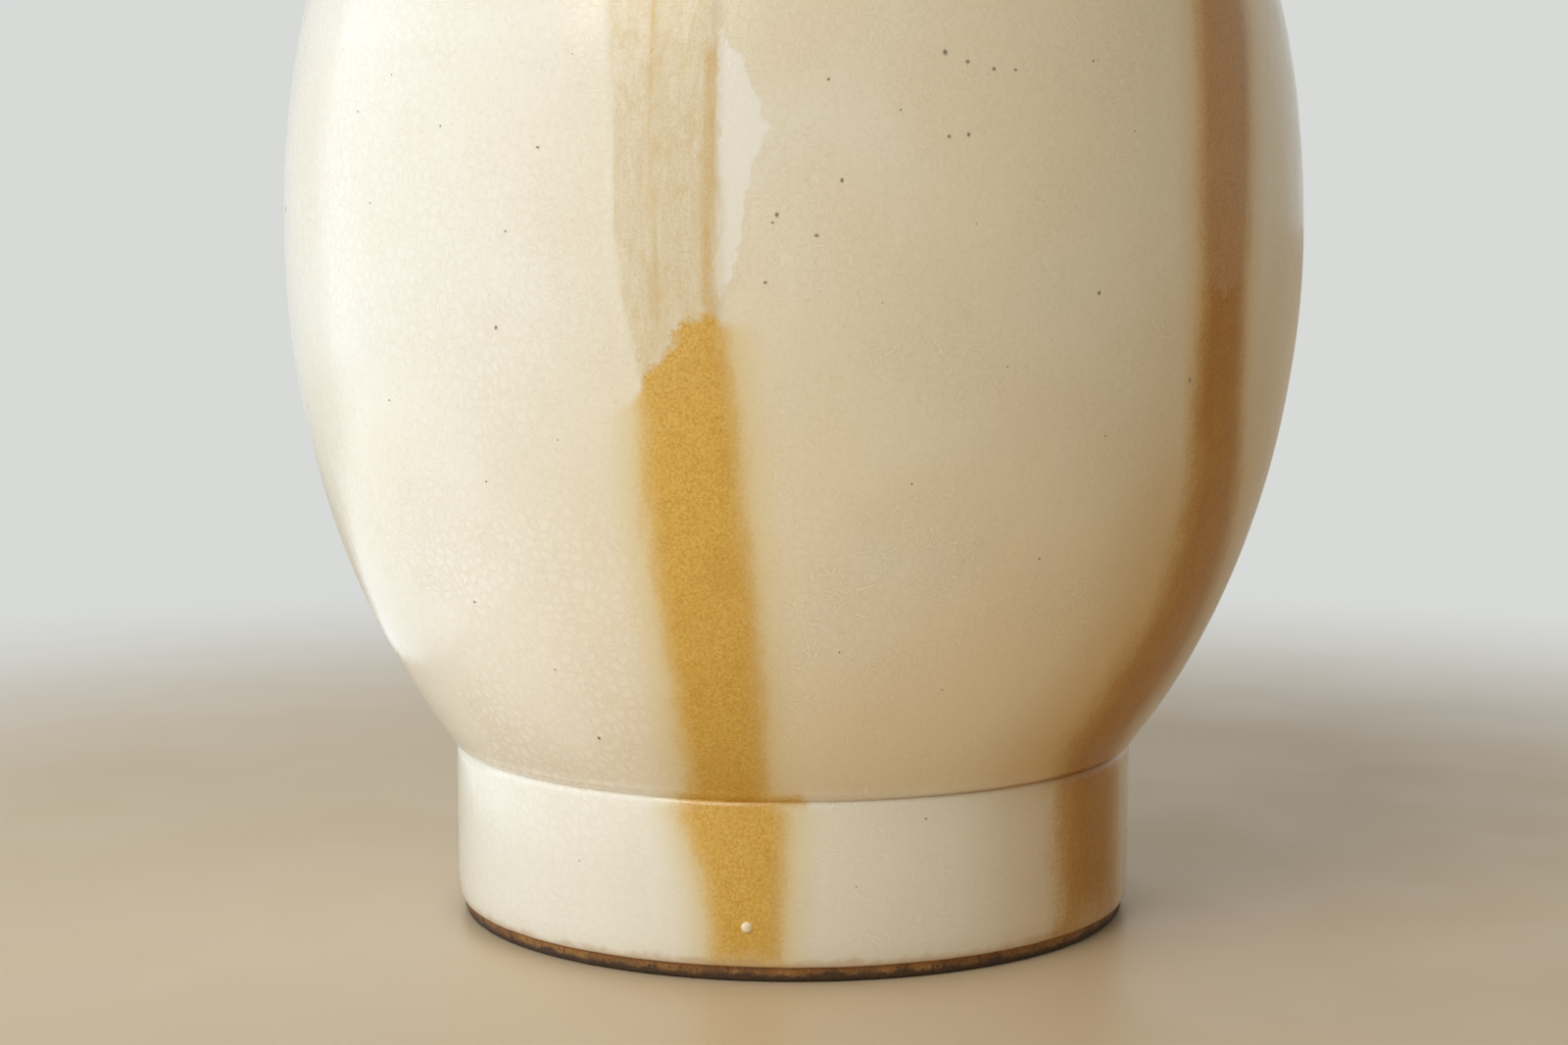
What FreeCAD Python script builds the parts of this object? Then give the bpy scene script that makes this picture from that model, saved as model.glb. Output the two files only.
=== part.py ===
import FreeCAD, Part
import math
import os

# A glazed stoneware jar: two thrown bowls joined rim to rim at the belly, a tall foot ring luted under them,
# a mouth ring thrown on top, coats of glaze outside, inside and under the base, and runs of iron glaze.
# Millimetres, +Z up. The origin is the centre of the circle on which the foot stands.
# Each coat lies face to face on the clay, because both are turned from the same outline at two depths.

# Body: the glazed outline of each bowl is a quarter of an oval that is centred on the belly
belly_radius = 150.2
lower_bowl_depth = 206.0
upper_bowl_rise = 212.0
bowl_wall = 7.0
floor_thickness = 9.0
floor_turn = 22.0

# Foot ring, its shoulder, the tuck above its bare clay, and the bevels of the face it stands on
foot_radius = 101.6
foot_height = 51.6
foot_wall = 9.0
foot_shoulder = 2.3
tuck_height = 8.0
tuck_depth = 1.0
bevel_height = 1.6
bevel_depth = 1.5
recess_corner = 5.0

# Groove between the foot's shoulder and the lower bowl, which oversails the foot a little
undercut_rise = 2.4
bowl_overhang = 2.1

# Mouth ring
mouth_radius = 61.5
neck_wall = 5.6
neck_height = 18.0
neck_turn = 5.0

# Coats and joints
glaze = 0.7
glaze_stop = 4.0
slip = 1.2

# Runs of iron glaze. Angles are counted from the front towards +X, widths are shares of run_width,
# and ends are shares of the level of the neck's base.
run_thickness = 0.3
run_width = 27.0
run_angle_degrees = (-11.2, 52.5, 117.0, 176.0, 243.0)
run_width_shares = (1.0, 0.95, 0.7, 1.05, 0.85)
run_bottom_shares = (0.02, 0.015, 0.3, 0.035, 0.17)
run_top_share = 0.965
run_foot_width_share = 1.05

# Levels and radii that follow
seat_level = foot_height - glaze
floor_level = seat_level + floor_thickness
recess_radius = foot_radius - glaze - foot_wall
shoulder_radius = foot_radius - glaze - foot_shoulder
shoulder_level = seat_level - foot_shoulder
undercut_end_share = (foot_radius + bowl_overhang) / belly_radius
belly_level = foot_height + undercut_rise + lower_bowl_depth * math.sqrt(1 - undercut_end_share ** 2)
neck_radius = mouth_radius + neck_wall + 2 * glaze
neck_base_level = belly_level + upper_bowl_rise * math.sqrt(1 - (neck_radius / belly_radius) ** 2)
top_level = neck_base_level + neck_height
lip_radius = (mouth_radius + neck_radius) / 2


def at(radius, level):
    """Point of an outline, out from the axis and up from the face that the foot stands on."""
    return FreeCAD.Vector(radius, 0, level)


def line(start, end):
    return Part.LineSegment(start, end).toShape()


def chain(*points):
    return [line(start, end) for start, end in zip(points, points[1:])]


def arc(start, middle, end):
    return Part.Arc(start, middle, end).toShape()


def blend(start, corner, end):
    """Rounded turn that leaves each of its ends in line with the corner."""
    curve = Part.BezierCurve()
    curve.setPoles([start, corner, end])
    return curve.toShape()


def oval_turn(height, level):
    return math.asin((level - belly_level) / height)


def oval_radius(radius, height, level):
    return radius * math.cos(oval_turn(height, level))


def oval_lean(radius, height, level):
    """How much the oval widens for each step up."""
    return radius ** 2 * (belly_level - level) / (height ** 2 * oval_radius(radius, height, level))


def oval(radius, height, low, high):
    """Edge along a quarter oval between two levels. The height is negative below the belly."""
    belly, pole = at(radius, belly_level), at(0, belly_level + height)
    turns = sorted(oval_turn(height, level) for level in (low, high))
    if radius < abs(height):
        belly, pole = pole, belly
        turns = [math.pi / 2 - turn for turn in reversed(turns)]
    return Part.ArcOfEllipse(Part.Ellipse(belly, pole, at(0, belly_level)), *turns).toShape()


def neck_outline(radius, height, wall, top):
    """From the belly over the shoulder, up the wall of the neck and over half of its round lip."""
    start_radius = wall + neck_turn
    start_level = belly_level + height * math.sqrt(1 - (start_radius / radius) ** 2)
    corner_level = start_level - neck_turn / oval_lean(radius, height, start_level)
    lip, turn = top - abs(lip_radius - wall), math.sin(math.pi / 4)
    lip_middle = at(lip_radius + (wall - lip_radius) * turn, lip + (top - lip) * turn)
    return [
        oval(radius, height, belly_level, start_level),
        blend(at(start_radius, start_level), at(wall, corner_level), at(wall, corner_level + neck_turn)),
        line(at(wall, corner_level + neck_turn), at(wall, lip)),
        arc(at(wall, lip), lip_middle, at(lip_radius, top)),
    ]


def foot_outline(grow):
    """Outside of the foot from its glaze's lower edge to its shoulder, out from the glaze by grow."""
    side, round_over = foot_radius + grow, foot_shoulder + glaze + grow
    turn = round_over * math.sin(math.pi / 4)
    tuck_corner = at(side, glaze_stop + tuck_height / 2)
    tuck_top = at(side, glaze_stop + tuck_height)
    shoulder_start = at(side, shoulder_level)
    shoulder_middle = at(shoulder_radius + turn, shoulder_level + turn)
    return [
        blend(at(side - tuck_depth, glaze_stop), tuck_corner, tuck_top),
        line(tuck_top, shoulder_start),
        arc(shoulder_start, shoulder_middle, at(shoulder_radius, shoulder_level + round_over)),
    ]


def undercut_end(grow):
    """Where the groove above the foot runs out on to the bowl."""
    level = foot_height + undercut_rise - grow / 2
    return at(oval_radius(belly_radius + grow, -lower_bowl_depth - grow, level), level)


def body_outline(grow):
    """Outside of the body from its groove to the crest of the lip, out from the glaze by grow."""
    radius, depth, rise = belly_radius + grow, -lower_bowl_depth - grow, upper_bowl_rise + grow
    lower_bowl = oval(radius, depth, undercut_end(grow).z, belly_level)
    return [lower_bowl] + neck_outline(radius, rise, neck_radius + grow, top_level + grow)


def outer_outline(grow):
    """The whole outside. On the clay, a step at the back of the groove leaves room for glaze to pool."""
    shoulder = at(shoulder_radius, foot_height + grow)
    step = [shoulder + at(grow, 0), shoulder + at(grow, -2 * grow)] if grow else []
    return foot_outline(grow) + chain(shoulder, *step, undercut_end(grow)) + body_outline(grow)


def inner_outline(grow):
    """Inside of the jar from the middle of the floor to the crest of the lip, into the wall by grow."""
    wall = 2 * glaze + bowl_wall - grow
    radius, depth, floor = belly_radius - wall, wall - lower_bowl_depth, floor_level + glaze - grow
    turn_end = at(oval_radius(radius, depth, floor + floor_turn), floor + floor_turn)
    corner = at(turn_end.x - floor_turn * oval_lean(radius, depth, turn_end.z), floor)
    turn_start = at(corner.x - floor_turn, floor)
    lower_bowl = [
        line(at(0, floor), turn_start),
        blend(turn_start, corner, turn_end),
        oval(radius, depth, turn_end.z, belly_level),
    ]
    return lower_bowl + neck_outline(radius, upper_bowl_rise - wall, mouth_radius + grow, top_level - grow)


def recess_outline(grow):
    """Under the base, from the middle of the recess to the edge of the glaze in the foot, in by grow."""
    side, roof = recess_radius - grow, seat_level - grow
    return [
        line(at(0, roof), at(side - recess_corner, roof)),
        blend(at(side - recess_corner, roof), at(side, roof), at(side, roof - recess_corner)),
        line(at(side, roof - recess_corner), at(side, glaze_stop)),
    ]


def turned(edges):
    """Solid of revolution of a closed outline."""
    wire = Part.Wire(Part.sortEdges(edges)[0])
    return Part.Face(wire).revolve(at(0, 0), at(0, 1), 360)


def clay_jar():
    """All the clay at once, before it is parted at its joints."""
    outside = foot_radius - glaze - tuck_depth
    standing_face = chain(
        at(recess_radius, glaze_stop),
        at(recess_radius, bevel_height),
        at(recess_radius + bevel_depth, 0),
        at(outside - bevel_depth, 0),
        at(outside, bevel_height),
        at(outside, glaze_stop),
    )
    middle = line(at(0, seat_level), at(0, floor_level))
    return turned(outer_outline(-glaze) + inner_outline(glaze) + recess_outline(0) + standing_face + [middle])


def between(shape, low, high):
    """What of a shape lies between two levels."""
    return shape.common(Part.makeCylinder(2 * belly_radius, high - low, at(0, low)))


def outer_glaze():
    edge = foot_radius - tuck_depth
    lower_edge = line(at(edge - glaze, glaze_stop), at(edge, glaze_stop))
    crest = line(at(lip_radius, top_level - glaze), at(lip_radius, top_level))
    return turned(outer_outline(0) + outer_outline(-glaze) + [lower_edge, crest])


def inner_glaze():
    crest = line(at(lip_radius, top_level - glaze), at(lip_radius, top_level))
    middle = line(at(0, floor_level), at(0, floor_level + glaze))
    return turned(inner_outline(0) + inner_outline(glaze) + [crest, middle])


def base_glaze():
    middle = line(at(0, seat_level - glaze), at(0, seat_level))
    lower_edge = line(at(recess_radius - glaze, glaze_stop), at(recess_radius, glaze_stop))
    return turned(recess_outline(0) + recess_outline(glaze) + [middle, lower_edge])


def run_skin(outline):
    """A thin skin all round the glaze, along one stretch of the outside."""
    inside, outside = (Part.Wire(outline(grow)).OrderedVertexes for grow in (0, run_thickness))
    ends = [line(inside[place].Point, outside[place].Point) for place in (0, -1)]
    return turned(outline(0) + outline(run_thickness) + ends)


def run_tongue(angle, width, low, high):
    """A tongue with round ends, pushed out from the axis at an angle from the front."""
    half = width / 2
    foot, head = low + half, high - half
    outline = [
        line(at(-half, foot), at(-half, head)),
        arc(at(-half, head), at(0, high), at(half, head)),
        line(at(half, head), at(half, foot)),
        arc(at(half, foot), at(0, low), at(-half, foot)),
    ]
    tongue = Part.Face(Part.Wire(outline)).extrude(FreeCAD.Vector(0, -2 * belly_radius, 0))
    tongue.rotate(at(0, 0), at(0, 1), angle)
    return tongue


def iron_runs():
    """Runs down the body, and what of them goes on down the foot below the groove."""
    body_skin = run_skin(body_outline)
    foot_skin = between(run_skin(foot_outline), 0, foot_height)
    top = run_top_share * neck_base_level
    runs = []
    for angle, width_share, bottom_share in zip(run_angle_degrees, run_width_shares, run_bottom_shares):
        width, bottom = width_share * run_width, bottom_share * neck_base_level
        runs += body_skin.common(run_tongue(angle, width, bottom, top)).Solids
        runs += foot_skin.common(run_tongue(angle, width * run_foot_width_share, bottom, top)).Solids
    return Part.makeCompound(runs)


clay = clay_jar()
belly_joint, neck_joint = belly_level - slip / 2, neck_base_level - slip

nodes = {
    "foot_ring": between(clay, 0, seat_level - slip),
    "foot_joint_slip": between(clay, seat_level - slip, seat_level),
    "lower_bowl": between(clay, seat_level, belly_joint),
    "belly_joint_slip": between(clay, belly_joint, belly_joint + slip),
    "upper_bowl": between(clay, belly_joint + slip, neck_joint),
    "neck_joint_slip": between(clay, neck_joint, neck_base_level),
    "neck_ring": between(clay, neck_base_level, top_level),
    "outer_glaze": outer_glaze(),
    "inner_glaze": inner_glaze(),
    "base_glaze": base_glaze(),
    "iron_runs": iron_runs(),
}

os.makedirs("parts", exist_ok=True)
for name, shape in nodes.items():
    shape.exportStep(os.path.join("parts", name + ".step"))
    print(f"{name}: {len(shape.Solids)} solids, {shape.Volume / 1000:.1f} cm3, valid {shape.isValid()}")
print(f"belly level {belly_level:.2f}, neck base {neck_base_level:.2f}, top {top_level:.2f}")
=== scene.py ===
import math

import bpy
import numpy as np
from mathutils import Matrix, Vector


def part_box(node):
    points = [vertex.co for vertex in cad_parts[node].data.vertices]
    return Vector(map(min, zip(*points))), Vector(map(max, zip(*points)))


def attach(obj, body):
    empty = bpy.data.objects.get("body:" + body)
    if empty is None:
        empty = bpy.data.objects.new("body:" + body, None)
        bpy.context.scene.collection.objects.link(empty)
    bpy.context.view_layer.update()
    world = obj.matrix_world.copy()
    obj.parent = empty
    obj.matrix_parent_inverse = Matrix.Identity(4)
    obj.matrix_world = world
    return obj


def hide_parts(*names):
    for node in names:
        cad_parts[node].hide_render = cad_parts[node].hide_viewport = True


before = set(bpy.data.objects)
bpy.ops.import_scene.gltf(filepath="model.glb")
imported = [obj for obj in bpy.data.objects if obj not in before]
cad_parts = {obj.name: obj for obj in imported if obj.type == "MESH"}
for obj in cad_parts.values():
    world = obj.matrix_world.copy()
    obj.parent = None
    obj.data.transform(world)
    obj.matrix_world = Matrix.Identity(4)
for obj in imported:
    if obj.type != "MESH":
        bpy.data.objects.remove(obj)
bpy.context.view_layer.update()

# Foot ring. A tall straight ring of coarse stoneware, thrown by itself and luted under the bowl.
# The glaze ends about 4 mm above the face it stands on, so only that face and the band over it are bare clay,
# toasted to tan where the glaze ends and darker grey-brown towards that face, which is painted contact shade.
MM = 0.001
FOOT_TURNS = 720
FOOT_CLAY_WALL = 100.9
FOOT_CLAY_EDGE = 99.9
FOOT_CLAY_TOP = 49.7
RECESS_WALL = 91.9
FACE_INNER = 93.4
FACE_OUTER = 98.4
FACE_ROUNDING = 1.6
GLAZE_END = 4.0
TUCK_CORNER = 8.0
TUCK_TOP = 12.0
GRIT_DEPTH = 0.22


def rise(start, end, steps):
    """Points up a straight stretch of an outline, after its start."""
    return [tuple(a + (b - a) * step / steps for a, b in zip(start, end)) for step in range(1, steps + 1)]


def turn(start, corner, end, steps):
    """Points of a rounded turn that leaves both ends in line with its corner, after its start."""
    shares = [step / steps for step in range(1, steps + 1)]
    return [tuple((1 - t) ** 2 * a + 2 * t * (1 - t) * b + t * t * c for a, b, c in zip(start, corner, end))
            for t in shares]


def arc(centre, radius, first, last, steps):
    """Points round a centre between two angles in degrees, both ends included."""
    angles = np.radians(np.linspace(first, last, steps + 1))
    return [(centre[0] + radius * math.cos(a), centre[1] + radius * math.sin(a)) for a in angles]


def throw(name, outline, steps):
    """Turn an outline of radii and levels in millimetres once round the jar's axis."""
    bpy.ops.object.select_all(action="DESELECT")
    bpy.ops.mesh.primitive_plane_add(size=MM)
    piece = bpy.context.object
    piece.name = piece.data.name = name
    bpy.ops.object.mode_set(mode="EDIT")
    bpy.ops.mesh.select_all(action="SELECT")
    bpy.ops.mesh.merge(type="CENTER")
    bpy.ops.transform.translate(value=(outline[0][0] * MM, 0, outline[0][1] * MM))
    for (radius, level), (next_radius, next_level) in zip(outline, outline[1:]):
        step = ((next_radius - radius) * MM, 0, (next_level - level) * MM)
        bpy.ops.mesh.extrude_vertices_move(TRANSFORM_OT_translate={"value": step})
    bpy.ops.mesh.select_all(action="SELECT")
    bpy.ops.mesh.remove_doubles(threshold=0.000001)
    bpy.ops.object.mode_set(mode="OBJECT")
    wheel = piece.modifiers.new("wheel", "SCREW")
    wheel.axis, wheel.angle = "Z", 2 * math.pi
    wheel.steps = wheel.render_steps = steps
    wheel.use_merge_vertices, wheel.merge_threshold = True, 0.000005
    bpy.ops.object.modifier_apply(modifier="wheel")
    bpy.ops.object.mode_set(mode="EDIT")
    bpy.ops.mesh.select_all(action="SELECT")
    bpy.ops.mesh.remove_doubles(threshold=0.000005)
    bpy.ops.mesh.select_all(action="SELECT")
    bpy.ops.mesh.normals_make_consistent(inside=False)
    bpy.ops.object.mode_set(mode="OBJECT")
    bpy.ops.object.shade_smooth_by_angle(angle=math.radians(50))
    return piece


def places(piece):
    """Angle from the front in degrees, level and radius in millimetres of every point of a piece."""
    points = np.zeros(len(piece.data.vertices) * 3, np.float32)
    piece.data.vertices.foreach_get("co", points)
    x, y, level = points.reshape(-1, 3).astype(float).T / MM
    return np.degrees(np.arctan2(x, -y)), level, np.hypot(x, y)


def ramp(value, low, high):
    """Smooth step from nought at low to one at high."""
    share = np.clip((value - low) / (high - low), 0, 1)
    return share * share * (3 - 2 * share)


def swell(piece, name, weights, height, cloud=None, size=10.0, middle=0.0):
    """Raise a piece's surface by height millimetres times its weights, evenly or by a cloud of lumps."""
    group = piece.vertex_groups.new(name=name)
    levels = np.round(np.clip(weights, 0, 1) * 100).astype(int)
    for level in np.unique(levels[levels > 0]):
        group.add([int(place) for place in np.flatnonzero(levels == level)], level / 100, "REPLACE")
    change = piece.modifiers.new(name, "DISPLACE")
    change.vertex_group = name
    change.strength = height * MM
    change.mid_level = middle
    if cloud is not None:
        texture = bpy.data.textures.new(name, "CLOUDS")
        texture.noise_scale = size * MM
        texture.noise_depth = cloud
        change.texture = texture
        change.texture_coords = "LOCAL"
    bpy.ops.object.select_all(action="DESELECT")
    bpy.context.view_layer.objects.active = piece
    piece.select_set(True)
    bpy.ops.object.modifier_apply(modifier=name)
    piece.vertex_groups.remove(piece.vertex_groups[name])


def note(piece, name, values):
    """Keep one number for each point of a piece, which its glaze reads."""
    kept = piece.data.attributes.new(name, "FLOAT", "POINT")
    kept.data.foreach_set("value", np.asarray(values, np.float32))


def fired(red, green, blue):
    """A fired colour, given in the usual 0 to 255 steps, as the shader wants it."""
    shares = [value / 255 for value in (red, green, blue)]
    return tuple(s / 12.92 if s < 0.04045 else ((s + 0.055) / 1.055) ** 2.4 for s in shares) + (1.0,)


class Mixing:
    """Shader nodes that are mixed together, for a fired surface or for the room round the jar."""

    def __init__(self, tree):
        self.nodes, self.links = tree.nodes, tree.links

    def add(self, kind, inputs, output=0, **settings):
        """A new node with its inputs set or linked, of which one output is given back."""
        made = self.nodes.new(kind)
        for key, value in settings.items():
            setattr(made, key, value)
        for key, value in inputs.items():
            if isinstance(value, bpy.types.NodeSocket):
                self.links.new(value, made.inputs[key])
            else:
                made.inputs[key].default_value = value
        return made.outputs[output]

    def sum(self, operation, *values):
        """Two values worked into one by an operation of the math node."""
        return self.add("ShaderNodeMath", dict(enumerate(values)), operation=operation)

    def step(self, value, low, high, to=(0.0, 1.0), shape="SMOOTHSTEP"):
        """Smooth or straight ramp of a value between two of its levels."""
        limits = {"From Min": low, "From Max": high, "To Min": to[0], "To Max": to[1]}
        return self.add("ShaderNodeMapRange", {"Value": value, **limits}, interpolation_type=shape)

    def over(self, share, under, top):
        """One colour laid over another, by a share from nought to one."""
        return self.add("ShaderNodeMix", {"Factor": share, 6: under, 7: top}, output=2, data_type="RGBA")


class Finish(Mixing):
    """A fired surface, built up from clouds, cracks and colours that are measured in millimetres."""

    def __init__(self, name, roughness=0.5, ior=1.5):
        self.material = bpy.data.materials.new(name)
        self.material.use_nodes = True
        super().__init__(self.material.node_tree)
        self.surface = self.nodes["Principled BSDF"]
        self.surface.inputs["Roughness"].default_value = roughness
        self.surface.inputs["IOR"].default_value = ior
        self.object_place = self.nodes.new("ShaderNodeTexCoord").outputs["Object"]
        self.place = self.stretched(1, 1, 1)

    def stretched(self, x, y, z):
        """Places in millimetres, drawn out along an axis where its number is under one."""
        return self.add("ShaderNodeMapping", {"Vector": self.object_place, "Scale": (x / MM, y / MM, z / MM)})

    def cloud(self, size, detail=2.0, rough=0.5, place=None):
        """Soft lumps of a size in millimetres, from nought to one."""
        lumps = {"Vector": place or self.place, "Scale": 1 / size, "Detail": detail, "Roughness": rough}
        return self.add("ShaderNodeTexNoise", lumps)

    def kept(self, name):
        """The number that was noted on each point of a piece under a name."""
        return self.add("ShaderNodeAttribute", {}, output="Fac", attribute_name=name)

    def along(self, axis):
        """Place in millimetres along one axis of the jar."""
        return self.add("ShaderNodeSeparateXYZ", {"Vector": self.place}, output=axis)

    def cracks(self, size, *widths):
        """A net of cracks round cells of a size, once for each width, from nought to one."""
        warped = {"Vector": self.place, "Scale": 1 / size, "Detail": 2.0}
        drift = self.add("ShaderNodeTexNoise", warped, output="Color")
        drift = self.add("ShaderNodeVectorMath", {0: drift, "Scale": 0.35 * size}, operation="SCALE")
        place = self.add("ShaderNodeVectorMath", {0: self.place, 1: drift}, operation="ADD")
        cells = {"Vector": place, "Scale": 1 / size}
        edge = self.add("ShaderNodeTexVoronoi", cells, feature="DISTANCE_TO_EDGE")
        return [self.step(edge, 0.0, width / size, (1.0, 0.0)) for width in widths]

    def relief(self, height, depth, under=None):
        """Fine relief from a height map, depth millimetres deep, on top of any relief under it."""
        inputs = {"Height": height, "Distance": depth * MM, "Strength": 1.0}
        if under is not None:
            inputs["Normal"] = under
        return self.add("ShaderNodeBump", inputs)

    def finish(self, colour, roughness, normal):
        """The material, once its colour, roughness and relief are laid on."""
        self.links.new(colour, self.surface.inputs["Base Color"])
        self.links.new(roughness, self.surface.inputs["Roughness"])
        self.links.new(normal, self.surface.inputs["Normal"])
        return self.material


def wear(piece, material):
    """Give a piece one finish all over."""
    piece.data.materials.clear()
    piece.data.materials.append(material)


BARE_CLAY = (fired(122, 81, 43), fired(88, 57, 31), fired(158, 112, 60))
IRON_GRAINS = fired(70, 45, 25)
GROG = fired(205, 165, 110)
PAINTED_CONTACT_SHADE = fired(50, 38, 27)
TOASTED = fired(168, 110, 48)


def clay_finish(name, body, dark, pale, toasted_and_shaded=False):
    """Fired clay with its grog, pits and dark iron grains; where it is bare, toasted at the glaze's edge and
    darker towards its face with painted contact shade.
    """
    clay = Finish(name, roughness=0.85)
    colour = clay.over(clay.step(clay.cloud(9.0, 3), 0.35, 0.65), body, pale)
    colour = clay.over(clay.step(clay.cloud(1.3, 3, 0.6), 0.5, 0.7), colour, dark)
    grain = clay.cloud(0.45, 2, 0.7)
    colour = clay.over(clay.step(grain, 0.6, 0.72, (0, 0.6)), colour, IRON_GRAINS)
    colour = clay.over(clay.step(grain, 0.4, 0.3, (0, 0.55)), colour, GROG)
    if toasted_and_shaded:
        # Painted contact shade: bare clay darker grey-brown towards the face the foot stands on.
        edge = clay.sum("ADD", clay.along("Z"), clay.step(clay.cloud(5.0, 3), 0.2, 0.8, (-0.8, 0.8)))
        colour = clay.over(clay.step(edge, 3.2, 1.6, (0, 0.85)), colour, PAINTED_CONTACT_SHADE)
        colour = clay.over(clay.step(edge, 3.2, 4.3, (0, 0.5)), colour, TOASTED)
    pits = clay.relief(grain, 0.12, clay.relief(clay.cloud(1.3, 3, 0.6), 0.15))
    return clay.finish(colour, clay.step(grain, 0.3, 0.7, (0.72, 0.95)), pits)


foot_outline = [(FOOT_CLAY_EDGE, FACE_ROUNDING)]
foot_outline += rise((FOOT_CLAY_EDGE, FACE_ROUNDING), (FOOT_CLAY_EDGE, GLAZE_END), 7)
foot_outline += turn((FOOT_CLAY_EDGE, GLAZE_END), (FOOT_CLAY_WALL, TUCK_CORNER), (FOOT_CLAY_WALL, TUCK_TOP), 4)
foot_outline += [(FOOT_CLAY_WALL, 30.0), (FOOT_CLAY_WALL, 48.6), (100.6, 49.5), (100.4, FOOT_CLAY_TOP)]
foot_outline += [(90.6, FOOT_CLAY_TOP), (91.5, 48.0), (RECESS_WALL, 45.9), (RECESS_WALL, 25.0)]
foot_outline += [(RECESS_WALL, 6.0)] + rise((RECESS_WALL, 6.0), (RECESS_WALL, FACE_ROUNDING), 9)
foot_outline += turn((RECESS_WALL, FACE_ROUNDING), (92.3, 0.0), (FACE_INNER, 0.0), 5)
foot_outline += rise((FACE_INNER, 0.0), (FACE_OUTER, 0.0), 12)
foot_outline += turn((FACE_OUTER, 0.0), (99.5, 0.0), (FOOT_CLAY_EDGE, FACE_ROUNDING), 5)
foot_clay = throw("foot_clay", foot_outline, FOOT_TURNS)
_, level, _ = places(foot_clay)
bare = ramp(level, 7.0, 4.5)
swell(foot_clay, "grit", bare, -GRIT_DEPTH, cloud=2, size=1.4)
swell(foot_clay, "grit_pits", bare, -GRIT_DEPTH, cloud=1, size=0.5)
wear(foot_clay, clay_finish("bare_stoneware", *BARE_CLAY, toasted_and_shaded=True))
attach(foot_clay, "root")
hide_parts("foot_ring")

# Bowls, mouth ring and the slip that lutes them. The clay body of the jar, thrown in two bowls that are joined
# rim to rim and a ring for the mouth. All of it lies under the glaze, so it keeps the plain clay shapes
# and gets the same coarse stoneware, and the paler slip in its three joints.
COVERED_CLAY = (fired(168, 124, 78), fired(140, 98, 58), fired(190, 148, 98))
SLIP = (fired(182, 144, 104), fired(160, 122, 84), fired(202, 168, 128))

body_clay = clay_finish("glazed_over_stoneware", *COVERED_CLAY)
joint_clay = clay_finish("luting_slip", *SLIP)
for clay_part in ("lower_bowl", "upper_bowl", "neck_ring"):
    wear(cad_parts[clay_part], body_clay)
for joint in ("foot_joint_slip", "belly_joint_slip", "neck_joint_slip"):
    wear(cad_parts[joint], joint_clay)

# Glaze on the base. Under the base, the glaze pools flat over the rings that the trimming tool left.
# It goes down the inside of the foot and stops 4 mm above the foot's face.
GLAZE = 0.7
RECESS_GLAZE = RECESS_WALL - GLAZE
RECESS_ROOF = 50.2
RECESS_TURNS = 360
ROOF_CORNER = 5.0
ROOF_BACK = 50.88
BASE_BACK = 91.88
TRIMMING_GAP = 4.6
IVORY = fired(231, 217, 189)
IVORY_COOL = fired(232, 223, 201)
IVORY_WARM = fired(226, 207, 174)
PAINTED_LEFT_LIGHT = fired(236, 232, 222)
PAINTED_LOW_LEFT_SHEEN = fired(250, 243, 229)
IVORY_SHADE = fired(208, 190, 154)
IVORY_BRIGHT = fired(240, 232, 212)
IVORY_DEEP = fired(198, 174, 128)
CRACK_AND_SHADE = fired(184, 160, 120)
PALE_CRACK = fired(250, 242, 220)
COARSE_CELL = 3.4
FINE_CELL = 1.7


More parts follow.
